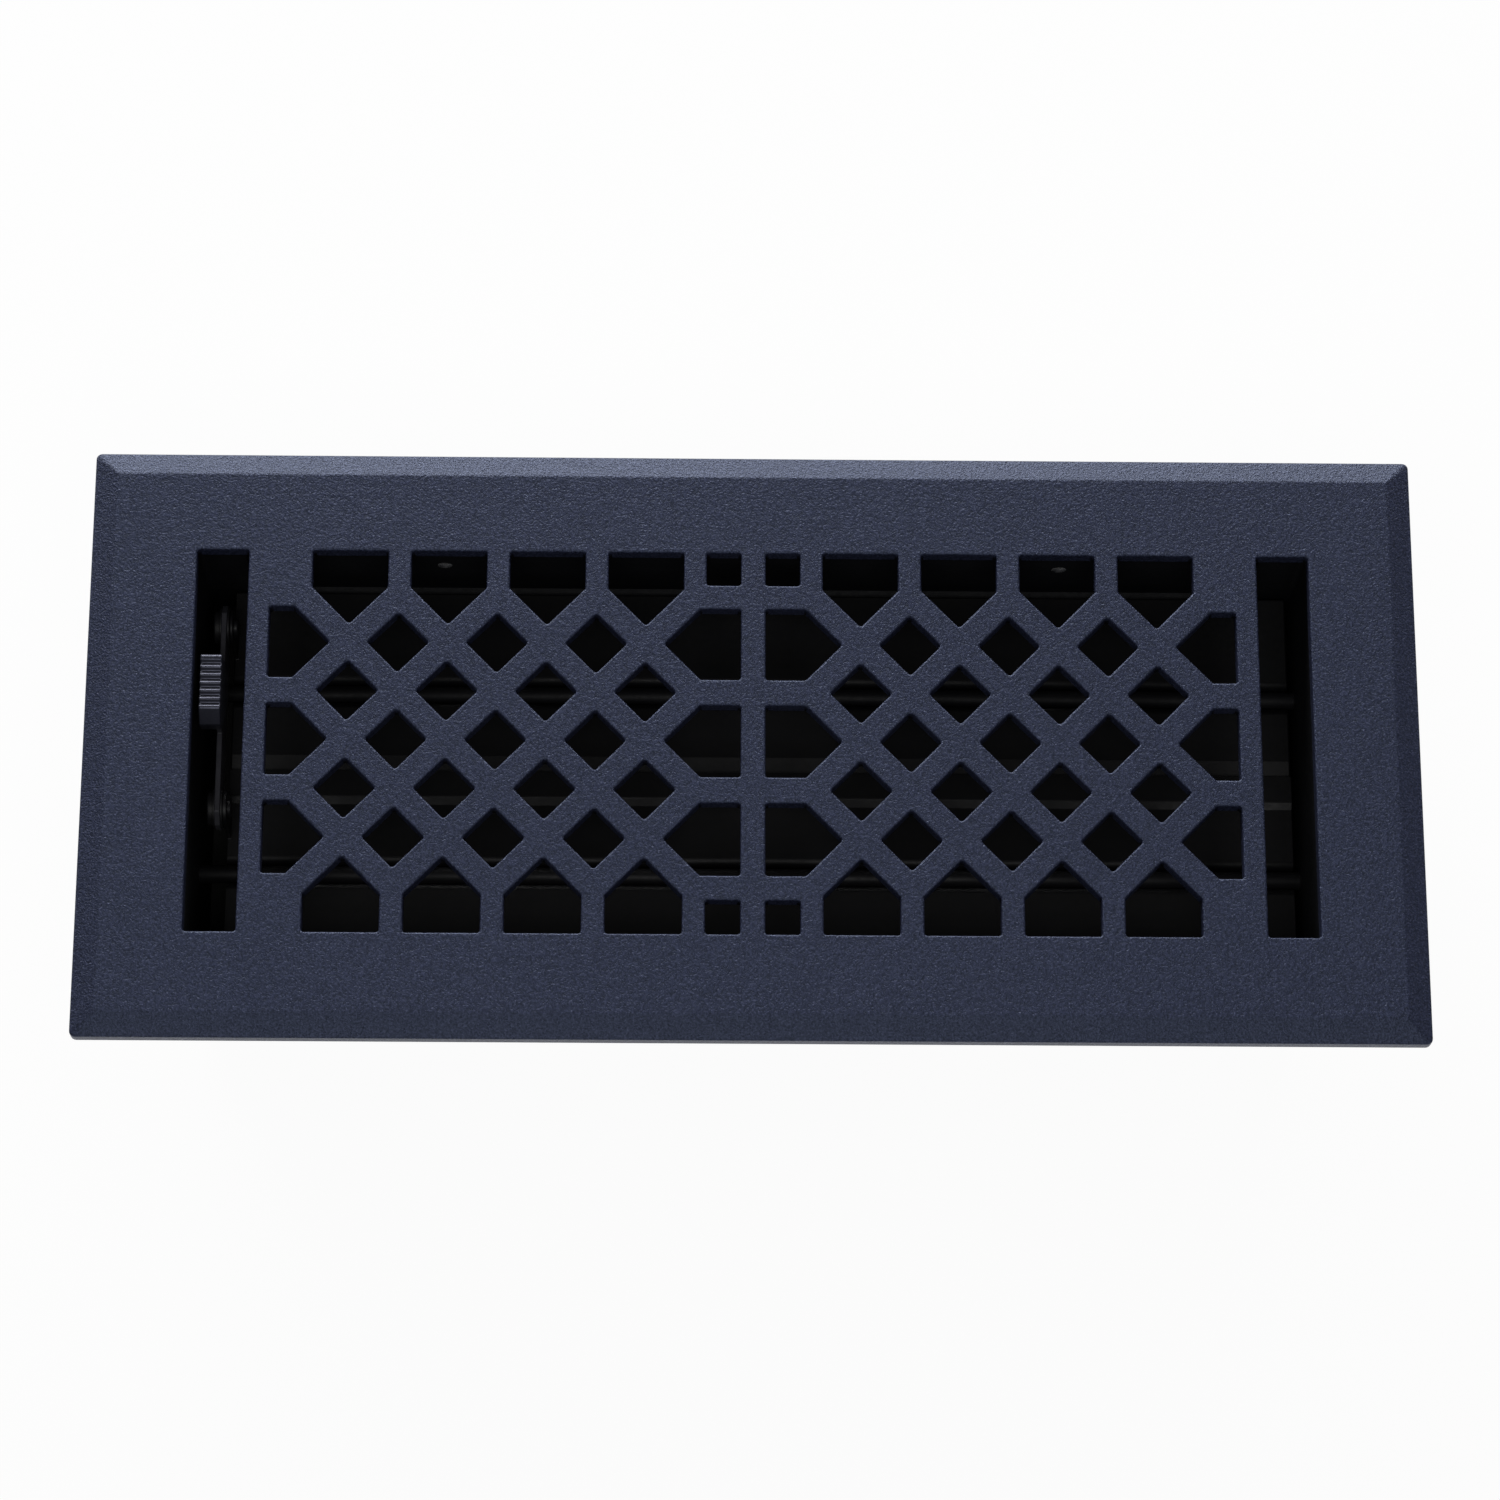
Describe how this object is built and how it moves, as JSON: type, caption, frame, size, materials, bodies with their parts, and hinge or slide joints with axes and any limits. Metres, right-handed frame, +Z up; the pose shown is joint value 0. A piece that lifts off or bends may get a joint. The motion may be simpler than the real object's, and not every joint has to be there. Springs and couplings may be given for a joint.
{
  "type": "floor register",
  "caption": "Cast floor register with a beveled lattice grille over a sheet-metal damper box whose ribbed thumb lever swings linked louvers open or shut.",
  "frame": {"origin": "on the floor plane, the flat underside of the plate's rim, at the middle of the plate", "axes": "+X along the plate's length with the thumb lever at the -X end, +Y across the plate towards the side where the lever rests when shut, +Z up out of the floor"},
  "size_m": [0.2922, 0.1334, 0.0596],
  "materials": {
    "plate_coat": "matte sandy blue-black powder coat over cast iron",
    "box_coat": "satin black paint on sheet steel",
    "louver_coat": "satin black paint on sheet steel",
    "lever_steel": "dark blackened steel",
    "plated_steel": "dull plated steel",
    "cap_plastic": "satin black moulded plastic, ribbed"
  },
  "bodies": {
    "register_frame": {"faceplate": "plate_coat", "mounting_screws": "plated_steel", "front_side_wall": "box_coat", "rear_side_wall": "box_coat", "lever_end_wall": "box_coat", "plain_end_wall": "box_coat", "corner_rivets": "plated_steel"},
    "front_blade": {"front_louver": "louver_coat", "front_pivot_rod": "lever_steel", "front_crank_rivet": "lever_steel"},
    "rear_blade": {"rear_louver": "louver_coat", "rear_pivot_rod": "lever_steel", "rear_crank_rivet": "lever_steel"},
    "lever": {"link_bar": "lever_steel", "thumb_cap": "cap_plastic", "spacer_washers": "lever_steel", "friction_washers": "lever_steel"}
  },
  "joints": [
    {"name": "front_louver_hinge", "type": "hinge", "parent": "register_frame", "child": "front_blade", "pos_m": [0, -0.0212, -0.0287], "axis": [1, 0, 0], "range_deg": [0, 90]},
    {"name": "rear_louver_hinge", "type": "hinge", "parent": "register_frame", "child": "rear_blade", "pos_m": [0, 0.0212, -0.0287], "axis": [1, 0, 0], "range_deg": [0, 90]},
    {"name": "lever_hinge", "type": "hinge", "parent": "front_blade", "child": "lever", "pos_m": [-0.118, -0.00946, -0.01696], "axis": [1, 0, 0], "range_deg": [-90, 0]}
  ],
  "couplings": [
    {"joint": "rear_louver_hinge", "follows": "front_louver_hinge", "ratio": 1},
    {"joint": "lever_hinge", "follows": "front_louver_hinge", "ratio": -1}
  ]
}
